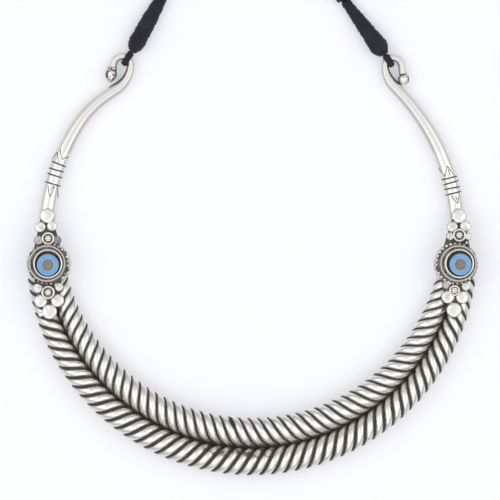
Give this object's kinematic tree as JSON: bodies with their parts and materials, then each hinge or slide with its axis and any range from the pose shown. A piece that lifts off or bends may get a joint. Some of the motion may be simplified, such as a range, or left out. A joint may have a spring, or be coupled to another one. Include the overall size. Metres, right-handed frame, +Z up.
{
  "type": "tribal necklace",
  "caption": "Stiff twisted-rope neck collar with tapered arms that end in hooks, beaded ornaments over the joints, and a thread-wrapped neck cord.",
  "frame": {"origin": "on the ground, under the middle of the rigid collar's box, the cord left out", "axes": "+X to the collar's right end as seen from above, +Y away from the front of the collar towards its open end and the cord, +Z up"},
  "size_m": [0.153, 0.1891, 0.0109],
  "materials": {
    "silver": "polished silver, worn, with darkened grooves",
    "oxidised_silver": "worn silver with blackened recesses",
    "blue_glass": "glossy opaque glass, dark blue at its edge",
    "bead_fill": "dull resin",
    "thread": "close turns of matt thread"
  },
  "bodies": {
    "root": {"inner_rope": "silver", "outer_rope": "silver", "arm_left": "silver", "arm_right": "silver", "ornament_left": "oxidised_silver", "ornament_right": "oxidised_silver", "glass_bead_left": "blue_glass", "glass_bead_right": "blue_glass", "bead_fill_left": "bead_fill", "bead_fill_right": "bead_fill", "cord_loop_left": "thread", "cord_loop_right": "thread", "cord_sleeve_left": "thread", "cord_sleeve_right": "thread", "cord_knot": "thread", "neck_cord": "thread"}
  },
  "joints": []
}
